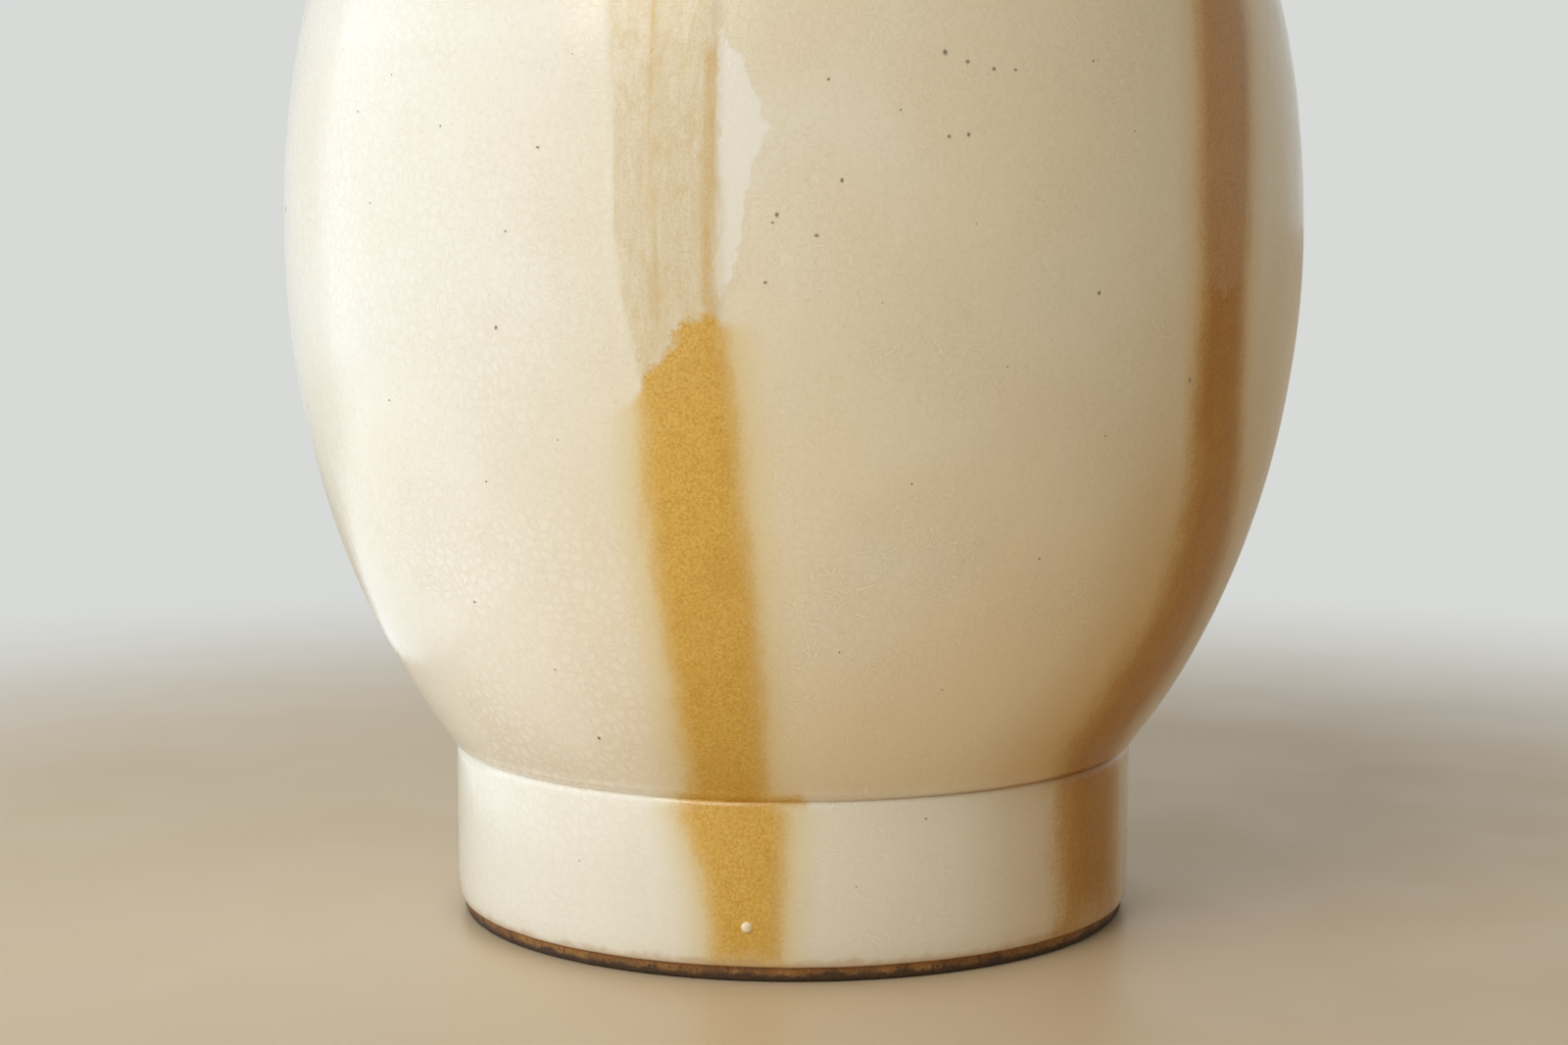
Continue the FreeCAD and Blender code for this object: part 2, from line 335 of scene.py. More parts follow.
def ivory_coat(glaze):
    """The ivory of the glaze: broad drifts of tone, painted light that whitens the left side, a painted sheen
    low on the left, a fine granular mottle and two nets of crackle, with painted shade beside the coarse
    cracks.
    """
    broad = glaze.cloud(70.0, 2, 0.5)
    colour = glaze.over(glaze.step(broad, 0.4, 0.66), IVORY, IVORY_COOL)
    across = glaze.along("X")
    # Painted light: the glaze is whiter towards the left, the side the window lights.
    colour = glaze.over(glaze.step(across, 10, -110, (0, 0.55)), colour, PAINTED_LEFT_LIGHT)
    # Painted sheen: brighter glaze low on the left, below level 150, where the lit floor is mirrored.
    painted_low_left_sheen = glaze.sum("MULTIPLY", glaze.step(across, -22, -58, (0, 0.75)), glaze.step(across, -106, -84))
    painted_low_left_sheen = glaze.sum("MULTIPLY", painted_low_left_sheen, glaze.step(glaze.along("Z"), 150, 80))
    colour = glaze.over(painted_low_left_sheen, colour, PAINTED_LOW_LEFT_SHEEN)
    colour = glaze.over(glaze.step(glaze.cloud(42.0, 3, 0.6), 0.52, 0.8, (0, 0.25)), colour, IVORY_WARM)
    mottle = glaze.cloud(1.1, 3, 0.65)
    colour = glaze.over(glaze.step(mottle, 0.52, 0.7, (0, 0.24)), colour, IVORY_SHADE)
    colour = glaze.over(glaze.step(mottle, 0.46, 0.3, (0, 0.3)), colour, IVORY_BRIGHT)
    reach = glaze.step(glaze.cloud(38.0, 2), 0.34, 0.62, (0.25, 1.0))
    coarse, painted_crack_shade = glaze.cracks(COARSE_CELL, 0.18, 0.8)
    crack_share = glaze.sum("MULTIPLY", reach, glaze.step(glaze.along("Z"), 150, 90, (0.36, 0.8)))
    # Painted shade: a soft darker band along each coarse crack, so that the pale crack looks raised.
    colour = glaze.over(glaze.sum("MULTIPLY", painted_crack_shade, glaze.sum("MULTIPLY", crack_share, 0.36)), colour, CRACK_AND_SHADE)
    colour = glaze.over(glaze.sum("MULTIPLY", coarse, crack_share), colour, PALE_CRACK)
    fine, = glaze.cracks(FINE_CELL, 0.09)
    colour = glaze.over(glaze.sum("MULTIPLY", fine, glaze.sum("MULTIPLY", reach, 0.1)), colour, CRACK_AND_SHADE)
    return colour, coarse, mottle


def glaze_relief(glaze, coarse, mottle):
    """Orange peel, the flow of the glaze down the wall and the edges of the cracks."""
    flow = glaze.cloud(5.0, 3, 0.55, glaze.stretched(1, 1, 0.1))
    normal = glaze.relief(flow, 0.09)
    normal = glaze.relief(glaze.cloud(3.2, 2, 0.5), 0.05, normal)
    normal = glaze.relief(mottle, 0.02, normal)
    return glaze.relief(coarse, -0.015, normal)


def plain_glaze(name, shade):
    """The ivory glaze where no iron runs over it, a little deeper in cloudy drifts where it pools."""
    glaze = Finish(name, ior=1.52)
    colour, coarse, mottle = ivory_coat(glaze)
    pooled = glaze.step(glaze.cloud(24.0, 3, 0.6), 0.4, 0.75, (0, 0.5))
    colour = glaze.over(pooled, colour, shade)
    rough = glaze.step(glaze.cloud(9.0, 3), 0.3, 0.7, (0.12, 0.22))
    return glaze.finish(colour, rough, glaze_relief(glaze, coarse, mottle))


roof_end = (RECESS_GLAZE - ROOF_CORNER, RECESS_ROOF)
wall_top = (RECESS_GLAZE, RECESS_ROOF - ROOF_CORNER)
base_outline = [(0, RECESS_ROOF)] + rise((0, RECESS_ROOF), roof_end, 90)
base_outline += turn(roof_end, (RECESS_GLAZE, RECESS_ROOF), wall_top, 10)
base_outline += rise(wall_top, (RECESS_GLAZE, 5.2), 20)
base_outline += turn((RECESS_GLAZE, 5.2), (RECESS_GLAZE, 4.3), (91.55, GLAZE_END), 4)
base_outline += [(BASE_BACK, 4.1), (BASE_BACK, 25.0), (BASE_BACK, 45.9), (90.6, 49.5)]
base_outline += [(86.9, ROOF_BACK), (45.0, ROOF_BACK), (0, ROOF_BACK)]
base_coat = throw("base_coat", base_outline, RECESS_TURNS)
angle, level, radius = places(base_coat)
trimming = 0.5 + 0.5 * np.sin(2 * math.pi * (radius / TRIMMING_GAP + angle / 360))
facing = (level > 49.0) & (level < 50.5)
swell(base_coat, "trimming_rings", trimming * facing * ramp(radius, 4, 12) * ramp(radius, 86, 80), 0.35)
swell(base_coat, "turning_button", facing * ramp(radius, 9, 3), 0.5)
wear(base_coat, plain_glaze("base_glaze_ivory", IVORY_DEEP))
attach(base_coat, "root")
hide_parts("base_glaze")

# Glaze inside. The jar is glazed inside too, by pouring, over the rings that throwing left in the clay.
# The seam where the two bowls meet stands a little proud at the belly, and glaze has pooled on the floor.
BELLY = 0.5 * (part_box("belly_joint_slip")[0].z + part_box("belly_joint_slip")[1].z) / MM
BELLY_RADIUS = 150.2
BOWL_DEPTH = 206.0
BOWL_RISE = 212.0
WALL = 8.4
FLOOR = 60.6
MOUTH = 61.5
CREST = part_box("outer_glaze")[1].z / MM
LIP_RADIUS = 65.0
NECK_ROUNDING = 5.0
INSIDE_TURNS = 320
FLOOR_TURN = 22.0
FLOOR_STEPS = 26
BACKING = 0.66
FINGER_GAP = 11.0
IVORY_POOLED = fired(208, 186, 140)


def oval(radius, height, low, high, steps):
    """Points up the side of a bowl whose pole is a height from the belly, between two levels."""
    first, last = (math.asin((level - BELLY) / height) for level in (low, high))
    turns = np.linspace(first, last, steps + 1)
    return [(radius * math.cos(t), BELLY + height * math.sin(t)) for t in turns]


def shoulder(radius, height, wall, top, steps):
    """Points from the belly over the shoulder and up the neck's wall to the crest of its lip."""
    start_radius = wall + NECK_ROUNDING
    start_level = BELLY + height * math.sqrt(1 - (start_radius / radius) ** 2)
    lean = radius ** 2 * (start_level - BELLY) / (height ** 2 * start_radius)
    corner = start_level + NECK_ROUNDING / lean
    neck_start = (wall, corner + NECK_ROUNDING)
    lip = top - abs(LIP_RADIUS - wall)
    points = oval(radius, height, BELLY, start_level, steps)
    points += turn(points[-1], (wall, corner), neck_start, 8) + rise(neck_start, (wall, lip), 5)
    first = 0 if wall > LIP_RADIUS else 180
    return points + arc((LIP_RADIUS, lip), abs(LIP_RADIUS - wall), first, 90, 7)[1:]


inside_radius = BELLY_RADIUS - WALL
inside_depth, inside_rise = BOWL_DEPTH - WALL, BOWL_RISE - WALL
turn_level = FLOOR + FLOOR_TURN
lower_wall = oval(inside_radius, inside_depth, turn_level, BELLY, 70)
lean = inside_radius ** 2 * (BELLY - turn_level) / (inside_depth ** 2 * lower_wall[0][0])
corner_radius = lower_wall[0][0] - FLOOR_TURN * lean
inside_outline = [(0, FLOOR)] + rise((0, FLOOR), (corner_radius - FLOOR_TURN, FLOOR), FLOOR_STEPS)
inside_outline += turn(inside_outline[-1], (corner_radius, FLOOR), lower_wall[0], 16) + lower_wall[1:]
inside_outline += shoulder(inside_radius, inside_rise, MOUTH, CREST, 78)[1:]
inside_back = [(LIP_RADIUS, CREST - GLAZE), (62.2, 400.0), (62.2, 396.0), (63.4, 391.5), (66.9, 387.4)]
inside_back += [(r + BACKING, z) for r, z in oval(inside_radius, inside_rise, BELLY, 386.0, 12)[-2::-1]]
inside_back += [(r + BACKING, z) for r, z in oval(inside_radius, inside_depth, turn_level, BELLY, 10)[-2::-1]]
inside_back += [(90.0, 66.6), (70.0, 61.4), (60.0, FLOOR - BACKING), (0, FLOOR - BACKING)]
inside_coat = throw("inside_coat", inside_outline + inside_back, INSIDE_TURNS)
angle, level, radius = places(inside_coat)
wall_radii, wall_levels = np.array(inside_outline[FLOOR_STEPS + 1:]).T
on_wall = radius < np.interp(level, wall_levels, wall_radii) + 0.25
on_floor = (level > FLOOR - 0.2) & (radius < 80)
facing = on_wall | on_floor
wall = facing * ramp(radius, 12, 40) * ramp(level, CREST - 6, CREST - 24)
finger = 0.5 + 0.5 * np.sin(2 * math.pi * (level / FINGER_GAP + radius / 26.0 - angle / 360))
swell(inside_coat, "finger_rings", finger * wall, 0.5)
seam = np.exp(-((level - BELLY) / 2.6) ** 2) * (0.75 + 0.25 * np.sin(np.radians(angle * 7 + 40)))
swell(inside_coat, "belly_seam", seam * facing, 0.9)
swell(inside_coat, "floor_spiral", facing * ramp(radius, 11, 2) * (level < 70), 0.8)
swell(inside_coat, "poured_waves", wall, 0.5, cloud=1, size=42.0, middle=0.5)
wear(inside_coat, plain_glaze("poured_ivory", IVORY_POOLED))
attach(inside_coat, "root")
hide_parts("inner_glaze")

# Runs of iron glaze. Iron glaze was laid on the shoulder and ran down over the ivory in the kiln, twice on the
# front and three times on the back. Each run has a mottled ochre core and a straw halo, and above its core a
# paler, drawn-out film. Edges are in degrees from the front, level by level in millimetres.
RUNS = {
    "front": {
        "levels": (3, 9, 17, 31, 39, 47, 51, 56, 86, 113, 140, 157, 170, 180, 190, 214, 239, 263, 330, 372),
        "left": (-12.0, -12.3, -13.0, -14.6, -16.1, -17.7, -17.0, -15.5, -14.7, -15.2, -15.4, -15.4, -15.7,
                 -16.5, -17.4, -18.2, -18.4, -19.0, -17.8, -15.5),
        "right": (-3.0, -2.8, -2.3, -1.9, -1.8, -1.6, -3.4, -4.4, -4.3, -4.6, -5.6, -6.0, -6.3,
                  -6.9, -7.2, -7.2, -7.4, -7.6, -8.8, -11.0),
        "ends": (7, 374), "veil": 1.0, "tone": 0.1,
        "film": ((-19, 161), (-16.3, 164), (-15.0, 168), (-13.4, 174), (-11.8, 180), (-9.2, 181.5),
                 (-7.2, 184)),
    },
    "right": {
        "levels": (3, 46, 63, 76, 90, 105, 133, 161, 188, 214, 240, 265, 330, 372),
        "left": (49.0, 48.0, 44.5, 46.0, 48.4, 50.2, 49.3, 47.0, 46.5, 45.6, 46.5, 48.0, 48.6, 50.6),
        "right": (68.0, 68.0, 62.0, 65.0, 66.0, 65.5, 61.0, 56.0, 54.1, 55.1, 56.4, 58.8, 58.2, 55.4),
        # Its wide soak low down and its deep tone are partly the run's own colour, and partly painted: a warm
        # floor reflection and shade on the jar's right.
        "ends": (6, 374), "veil": 0.16, "tone": 0.9, "soak": 0.8, "spread": 1.3,
        "film": ((46, 192), (50, 186), (56, 196)),
    },
    "right_back": {
        "levels": (117, 121, 128, 150, 200, 260, 330, 374),
        "left": (116.9, 114.7, 113.2, 112.6, 113.2, 112.4, 111.6, 113.0),
        "right": (117.1, 119.3, 120.4, 120.8, 121.0, 121.6, 122.4, 120.4),
        "ends": (116, 376), "veil": 0.5, "tone": 0.3, "film": ((111, 232), (116, 206), (122, 198)),
    },
    "back": {
        "levels": (13, 17, 25, 46, 56, 90, 150, 210, 270, 330, 374),
        "left": (175.9, 172.4, 169.4, 167.8, 168.8, 170.4, 171.0, 170.2, 169.6, 168.8, 171.4),
        "right": (176.1, 180.0, 182.8, 184.2, 182.6, 181.8, 180.8, 181.8, 182.2, 183.4, 180.0),
        "ends": (12, 376), "veil": 0.9, "tone": 0.2, "film": ((169, 212), (173, 196), (177, 201), (182, 184)),
    },
    "left_back": {
        "levels": (65, 70, 78, 92, 140, 200, 270, 330, 374),
        "left": (242.9, 239.9, 238.0, 237.4, 238.6, 238.2, 237.6, 236.6, 239.6),
        "right": (243.1, 246.3, 248.4, 249.0, 247.4, 248.0, 248.8, 249.6, 246.6),
        "ends": (64, 376), "veil": 0.6, "tone": 0.5, "film": ((237, 224), (243, 204), (249, 192)),
    },
}
POOL = {"levels": (50, 56), "left": (-18.0, -18.0), "right": (1.5, 0.0), "ends": (50.3, 52.0)}
THREAD = ((-14.2, 300), (-14.2, 263), (-13.9, 225), (-13.6, 190), (-13.8, 176))
MARGIN = ((-8.2, 250), (-8.3, 214), (-8.5, 190), (-8.0, 182))
PATCH = ((-6.7, 255.5), (-4.4, 245), (-2.5, 232), (-3.9, 220), (-4.5, 214), (-5.1, 205), (-5.8, 195),
         (-6.7, 189), (-7.5, 189), (-7.5, 255))
RUN_REACH = 16
FILM_REACH = 8
MEAN_RADIUS = 145


def turned_from(angle, centre):
    """Degrees from a centre to an angle, between -180 and 180."""
    return (angle - centre + 180) % 360 - 180


def run_depth(run, angle, level, radius):
    """Millimetres from the nearest edge of a run, more than nought inside it."""
    left, right = (np.interp(level, run["levels"], run[side]) for side in ("left", "right"))
    across = np.abs(turned_from(angle, (left + right) / 2))
    side = np.radians((right - left) / 2 - across) * radius
    low, high = run["ends"]
    return np.minimum(side, np.minimum((level - low) * 0.8, (high - level) * 0.7))


def line_gap(points, angle, level, radius):
    """Millimetres from a drawn line of angles and levels."""
    gap = np.full(len(angle), 99.0)
    for (start_angle, start_level), (end_angle, end_level) in zip(points, points[1:]):
        x, z = np.radians(turned_from(angle, start_angle)) * radius, level - start_level
        along = np.array([np.radians(end_angle - start_angle) * MEAN_RADIUS, end_level - start_level])
        share = np.clip((x * along[0] + z * along[1]) / (along @ along), 0, 1)
        gap = np.minimum(gap, np.hypot(x - share * along[0], z - share * along[1]))
    return gap


def within(points, angle, level):
    """Whether places lie in a closed outline of angles and levels."""
    inside = np.zeros(len(angle), bool)
    for (start_angle, start_level), (end_angle, end_level) in zip(points, points[1:] + points[:1]):
        if start_level != end_level:
            crosses = (level > start_level) != (level > end_level)
            edge = start_angle + (level - start_level) * (end_angle - start_angle) / (end_level - start_level)
            inside ^= crosses & (angle < edge)
    return inside


def lay_iron(piece, facing):
    """Note on a coat where the iron, the film over it, its threads and the pale patch beside it lie."""
    angle, level, radius = places(piece)
    iron = run_depth(POOL, angle, level, radius) * 2.0
    film = np.full(len(angle), -float(FILM_REACH))
    veil, tone, halo_and_reflection = np.zeros((3, len(angle)))
    for run in RUNS.values():
        depth = run_depth(run, angle, level, radius)
        spread = 1 + run.get("spread", 0.0) * ramp(level, 190, 90)
        iron = np.maximum(iron, depth / spread)
        film_angles, film_levels = zip(*run["film"])
        middle = (film_angles[0] + film_angles[-1]) / 2
        low = np.interp(middle + turned_from(angle, middle), film_angles, film_levels)
        near = depth > -RUN_REACH
        film, veil = np.where(near, level - low, film), np.where(near, run["veil"], veil)
        tone = np.maximum(tone, run["tone"] * ramp(depth, -55, -14))
        # Where a run has a soak, its halo colour spreads wide and is strongest low down, partly a painted warm
        # reflection of the floor.
        soak_and_reflection_reach = ramp(level, 205, 95) * (0.6 + 0.4 * ramp(level, 44, 56))
        soak_and_reflection = run.get("soak", 0.0) * ramp(depth, -48, 2) * soak_and_reflection_reach
        halo_and_reflection = np.maximum(halo_and_reflection, np.maximum(0.75 * ramp(depth, -13, 1), soak_and_reflection))
    thread_gap, margin_gap = (line_gap(line, angle, level, radius) for line in (THREAD, MARGIN))
    thread = np.minimum(thread_gap * 1.5, margin_gap * 0.75)
    patch_gap = line_gap(PATCH + PATCH[:1], angle, level, radius)
    patch = np.where(within(PATCH, angle, level), patch_gap, -patch_gap)
    note(piece, "iron", np.clip(iron, -RUN_REACH, FILM_REACH))
    note(piece, "film", np.clip(film, -FILM_REACH, FILM_REACH))
    note(piece, "veil", veil)
    note(piece, "halo_and_reflection", halo_and_reflection)
    note(piece, "tone", tone)
    note(piece, "thread", np.clip(thread, 0, FILM_REACH))
    note(piece, "patch", np.clip(patch, -FILM_REACH, FILM_REACH))
    # A tan line in the groove above the foot, stronger towards the right: partly a stain where the glaze is
    # thin, partly painted shade.
    note(piece, "groove_stain_and_shade", np.exp(-((level - 51.0) / 0.55) ** 2) * ramp(angle, -12, 45) * (radius < 103))
    raised_film = ramp(np.minimum(film, iron + 1.5), 0.0, 2.0) * veil
    return ramp(iron, -1.5, 3.0) * facing, raised_film * facing


LOW_WARMTH_AND_REFLECTION = fired(243, 219, 181)
FOOT_IVORY = fired(236, 230, 214)
PATCH_IVORY = fired(242, 240, 232)
HALO_AND_REFLECTION = (fired(224, 203, 144), fired(214, 172, 108))
RIM = (fired(220, 178, 96), fired(190, 144, 66))
OCHRE = (fired(226, 186, 90), fired(184, 121, 6))
DARK_OCHRE = (fired(200, 149, 46), fired(152, 92, 1))
STRAW = fired(234, 200, 122)
OCHRE_DRIFT = fired(196, 142, 40)
OCHRE_BLOT = fired(190, 136, 36)
FILM = fired(221, 208, 180)
FILM_PALE = fired(234, 227, 209)
FILM_BLOT = fired(211, 190, 148)
FILM_STREAK = fired(210, 184, 132)
FILM_GRAIN = fired(207, 184, 138)
THREAD_TAN = fired(206, 166, 92)
GROOVE_TAN_AND_SHADE = fired(168, 116, 56)
EDGE_TAN = fired(186, 142, 84)
LIP_TAN = fired(188, 138, 76)


def iron_core(glaze, grain, tone):
    """The mottled ochre of a run, deeper in colour where its tone is near one."""
    light, dark = glaze.over(tone, *OCHRE), glaze.over(tone, *DARK_OCHRE)
    core = glaze.over(glaze.step(grain, 0.36, 0.68), light, dark)
    core = glaze.over(glaze.step(grain, 0.42, 0.24, (0, 0.4)), core, glaze.over(tone, STRAW, light))
    core = glaze.over(glaze.step(glaze.cloud(16.0, 3, 0.6), 0.48, 0.76, (0, 0.4)), core, OCHRE_DRIFT)
    return glaze.over(glaze.step(glaze.cloud(4.5, 3, 0.6), 0.56, 0.74, (0, 0.3)), core, OCHRE_BLOT)


def drawn_film(glaze, grain, flow):
    """The pale film drawn out above a run's core, streaked down the wall, with the tan threads in it."""
    blots = glaze.cloud(4.0, 5, 0.72, glaze.stretched(1, 1, 0.45))
    film = glaze.over(glaze.step(flow, 0.42, 0.66, (0, 0.45)), FILM, FILM_PALE)
    film = glaze.over(glaze.step(blots, 0.48, 0.66, (0, 0.6)), film, FILM_BLOT)
    film = glaze.over(glaze.step(flow, 0.4, 0.26, (0, 0.25)), film, FILM_STREAK)
    film = glaze.over(glaze.step(grain, 0.46, 0.68, (0, 0.55)), film, FILM_GRAIN)
    thread = glaze.sum("ADD", glaze.kept("thread"), glaze.step(grain, 0.3, 0.7, (-0.8, 1.0)))
    return glaze.over(glaze.step(thread, 2.0, 0.0, (0, 0.7)), film, THREAD_TAN)


def running_glaze(name):
    """The ivory glaze with the iron runs over it, tan where it thins at its edges, warmer low down in part by
    a painted floor reflection, with a tan line in the foot's groove that is partly painted shade.
    """
    glaze = Finish(name, ior=1.52)
    colour, coarse, mottle = ivory_coat(glaze)
    level, across = glaze.along("Z"), glaze.along("X")
    # Warmer low on the body and more so towards the right: partly the glaze's own tone, partly a painted warm
    # reflection of the floor.
    low = glaze.sum("ADD", level, glaze.step(glaze.cloud(60.0, 2), 0.3, 0.7, (-25, 25)))
    warmth_and_reflection = glaze.sum("MULTIPLY", glaze.step(low, 170, 60, (0, 0.6)), glaze.step(level, 50, 56))
    warmth_and_reflection = glaze.sum("MULTIPLY", warmth_and_reflection, glaze.step(across, -110, 30, (0.1, 1.0)))
    colour = glaze.over(warmth_and_reflection, colour, LOW_WARMTH_AND_REFLECTION)
    colour = glaze.over(glaze.step(level, 54, 48, (0, 0.6)), colour, FOOT_IVORY)

    patch = glaze.sum("ADD", glaze.kept("patch"), glaze.step(glaze.cloud(5.0, 3), 0.2, 0.8, (-1.2, 1.2)))
    patch_share = glaze.step(patch, -0.4, 0.8, (0, 0.62))
    colour = glaze.over(patch_share, colour, PATCH_IVORY)

    drift = glaze.step(glaze.cloud(6.0, 3, 0.6, glaze.stretched(1, 1, 0.3)), 0.2, 0.8, (-0.9, 0.9))
    soak = glaze.step(glaze.cloud(0.9, 3, 0.7), 0.3, 0.7, (-0.9, 0.9))
    edge = glaze.sum("ADD", glaze.kept("iron"), drift)
    iron = glaze.sum("ADD", edge, soak)
    veiled = glaze.sum("MULTIPLY", glaze.step(glaze.kept("film"), -4.0, 0.5), glaze.kept("veil"))
    bare = glaze.sum("SUBTRACT", 1.0, veiled)
    tone = glaze.kept("tone")
    # Halo colour, partly a painted warm reflection low on the right.
    colour = glaze.over(glaze.sum("MULTIPLY", glaze.kept("halo_and_reflection"), bare), colour, glaze.over(tone, *HALO_AND_REFLECTION))
    rim_share = glaze.sum("MULTIPLY", glaze.step(iron, -4.6, 2.4, (0, 0.75)), bare)
    colour = glaze.over(rim_share, colour, glaze.over(tone, *RIM))
    grain = glaze.cloud(0.75, 4, 0.75)
    crisp = glaze.sum("MULTIPLY", glaze.step(edge, 0.3, 2.6), veiled)
    soft = glaze.sum("MULTIPLY", glaze.step(iron, -2.6, 5.0, (0, 0.98)), bare)
    colour = glaze.over(glaze.sum("ADD", crisp, soft), colour, iron_core(glaze, grain, tone))

    ragged = glaze.sum("ADD", glaze.step(glaze.cloud(9.0, 2, 0.5), 0.3, 0.7, (-2.5, 2.5)),
                       glaze.step(glaze.cloud(2.2, 4, 0.7), 0.3, 0.7, (-1.6, 1.6)))
    film = glaze.sum("ADD", glaze.kept("film"), ragged)
    film_share = glaze.sum("MULTIPLY", glaze.step(film, -2.2, 2.8), glaze.step(edge, -1.7, 2.0))
    film_share = glaze.sum("MULTIPLY", film_share, glaze.kept("veil"))
    flow = glaze.cloud(2.0, 3, 0.65, glaze.stretched(1, 1, 0.09))
    colour = glaze.over(glaze.sum("MULTIPLY", film_share, 0.88), colour, drawn_film(glaze, grain, flow))

    # Tan in the groove above the foot, partly painted shade.
    colour = glaze.over(glaze.sum("MULTIPLY", glaze.kept("groove_stain_and_shade"), 0.6), colour, GROOVE_TAN_AND_SHADE)
    lower = glaze.sum("ADD", level, glaze.step(glaze.cloud(7.0, 3, 0.6), 0.2, 0.8, (-1.2, 1.2)))
    colour = glaze.over(glaze.step(lower, 7.4, 5.0, (0, 0.45)), colour, EDGE_TAN)
    crest = glaze.sum("ADD", level, glaze.step(glaze.cloud(9.0, 3, 0.6), 0.2, 0.8, (-1.6, 1.6)))
    colour = glaze.over(glaze.step(crest, CREST - 3.0, CREST - 0.4, (0, 0.75)), colour, LIP_TAN)

    rough = glaze.step(glaze.cloud(9.0, 3), 0.3, 0.7, (0.08, 0.14))
    rough = glaze.sum("ADD", rough, glaze.sum("MULTIPLY", film_share, 0.16))
    normal = glaze_relief(glaze, coarse, mottle)
    normal = glaze.relief(film_share, 0.012, normal)
    normal = glaze.relief(glaze.sum("MULTIPLY", flow, film_share), 0.1, normal)
    normal = glaze.relief(patch_share, 0.1, normal)
    normal = glaze.relief(grain, 0.03, normal)
    return glaze.finish(colour, rough, normal)


iron_over_ivory = running_glaze("iron_over_ivory")

# Glaze on the foot. The same ivory coat goes down the straight side of the foot and stops in a thick, wavy
# rolled edge about 4.5 mm above the foot's face, because that was wiped clean. The runs go on over it.
FOOT_WALL = 101.6
FOOT_SHOULDER = (98.6, 48.6)
SHOULDER_ROUNDING = 3.0
FOOT_COAT_BACK = 100.93
GROOVE = (100.72, 50.72)
FOOT_COAT_TURNS = 640
ROLLED_UNDER = [(99.93, 5.2), (99.97, 4.8), (100.2, 4.55), (100.5, 4.6)]
ROLLED_EDGE = (100.88, 5.4)

foot_front = [(100.75, 4.9), ROLLED_EDGE]
foot_front += turn(ROLLED_EDGE, (FOOT_WALL, TUCK_CORNER), (FOOT_WALL, TUCK_TOP), 8)
foot_front += rise((FOOT_WALL, TUCK_TOP), (FOOT_WALL, FOOT_SHOULDER[1]), 32)
foot_front += arc(FOOT_SHOULDER, SHOULDER_ROUNDING, 0, 90, 10)[1:]
foot_back = [(98.2, 51.2)] + arc(FOOT_SHOULDER, FOOT_COAT_BACK - FOOT_SHOULDER[0], 90, 0, 5)
foot_back += [(FOOT_COAT_BACK, 30.0), (FOOT_COAT_BACK, TUCK_TOP), (100.66, TUCK_CORNER), ROLLED_UNDER[0]]
foot_coat = throw("foot_coat", ROLLED_UNDER + foot_front + foot_back, FOOT_COAT_TURNS)
_, level, radius = places(foot_coat)
from_shoulder = np.hypot(radius - FOOT_SHOULDER[0], level - FOOT_SHOULDER[1])
on_edge = (level < TUCK_TOP) & (radius > 100.1)
on_shoulder = (level > FOOT_SHOULDER[1]) & (from_shoulder > SHOULDER_ROUNDING - 0.3)
facing = (radius > 101.2) | on_edge | on_shoulder
side = facing * ramp(level, GROOVE[1] - 0.1, GROOVE[1] - 4)
iron, _ = lay_iron(foot_coat, side)
swell(foot_coat, "foot_iron", iron, 0.22)
swell(foot_coat, "foot_waves", side * ramp(level, 3.0, 9.0), 0.3, cloud=2, size=26.0, middle=0.5)
swell(foot_coat, "rolled_edge", facing * ramp(level, 8.0, 4.8), 0.28, cloud=2, size=12.0, middle=0.2)
wear(foot_coat, iron_over_ivory)
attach(foot_coat, "root")
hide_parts("outer_glaze")

# Glaze on the body. One ivory coat from the groove above the foot to the crest of the lip, a little uneven
# where it flowed, raised along the iron runs, and breaking to tan on the lip where it thins.
BODY_TURNS = 456
OVERSAIL = (103.7, 54.0)
NECK = 68.5

body_outline = [(98.7, 51.5), GROOVE] + turn(GROOVE, (102.7, 51.7), OVERSAIL, 8)
body_outline += oval(BELLY_RADIUS, BOWL_DEPTH, OVERSAIL[1], BELLY, 78)[1:]
body_outline += shoulder(BELLY_RADIUS, BOWL_RISE, NECK, CREST, 86)[1:]
body_back = [(LIP_RADIUS, CREST - BACKING), (67.84, 400.0), (67.84, 396.0), (69.0, 391.0), (72.0, 387.8)]
body_back += [(r - BACKING, z) for r, z in oval(BELLY_RADIUS, BOWL_RISE, BELLY, 386.0, 9)[-2::-1]]
body_back += [(r - BACKING, z) for r, z in oval(BELLY_RADIUS, BOWL_DEPTH, 56.0, BELLY, 8)[-2::-1]]
body_back += [(103.3, 54.5), (98.2, 52.1), (98.7, 51.5)]
body_coat = throw("body_coat", body_outline + body_back, BODY_TURNS)
_, level, radius = places(body_coat)
outline_radii, outline_levels = np.array(body_outline).T
facing = radius > np.interp(level, outline_levels, outline_radii) - 0.2
side = facing * ramp(level, OVERSAIL[1] - 1, OVERSAIL[1] + 10) * ramp(level, CREST - 2, CREST - 16)
iron, film = lay_iron(body_coat, side)
swell(body_coat, "iron_runs", iron, 0.28)
swell(body_coat, "film", film, 0.06)
swell(body_coat, "thrown_waves", side, 0.7, cloud=1, size=62.0, middle=0.5)
swell(body_coat, "flowed_waves", side, 0.16, cloud=2, size=14.0, middle=0.5)
wear(body_coat, iron_over_ivory)
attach(body_coat, "root")
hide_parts("outer_glaze", "iron_runs")

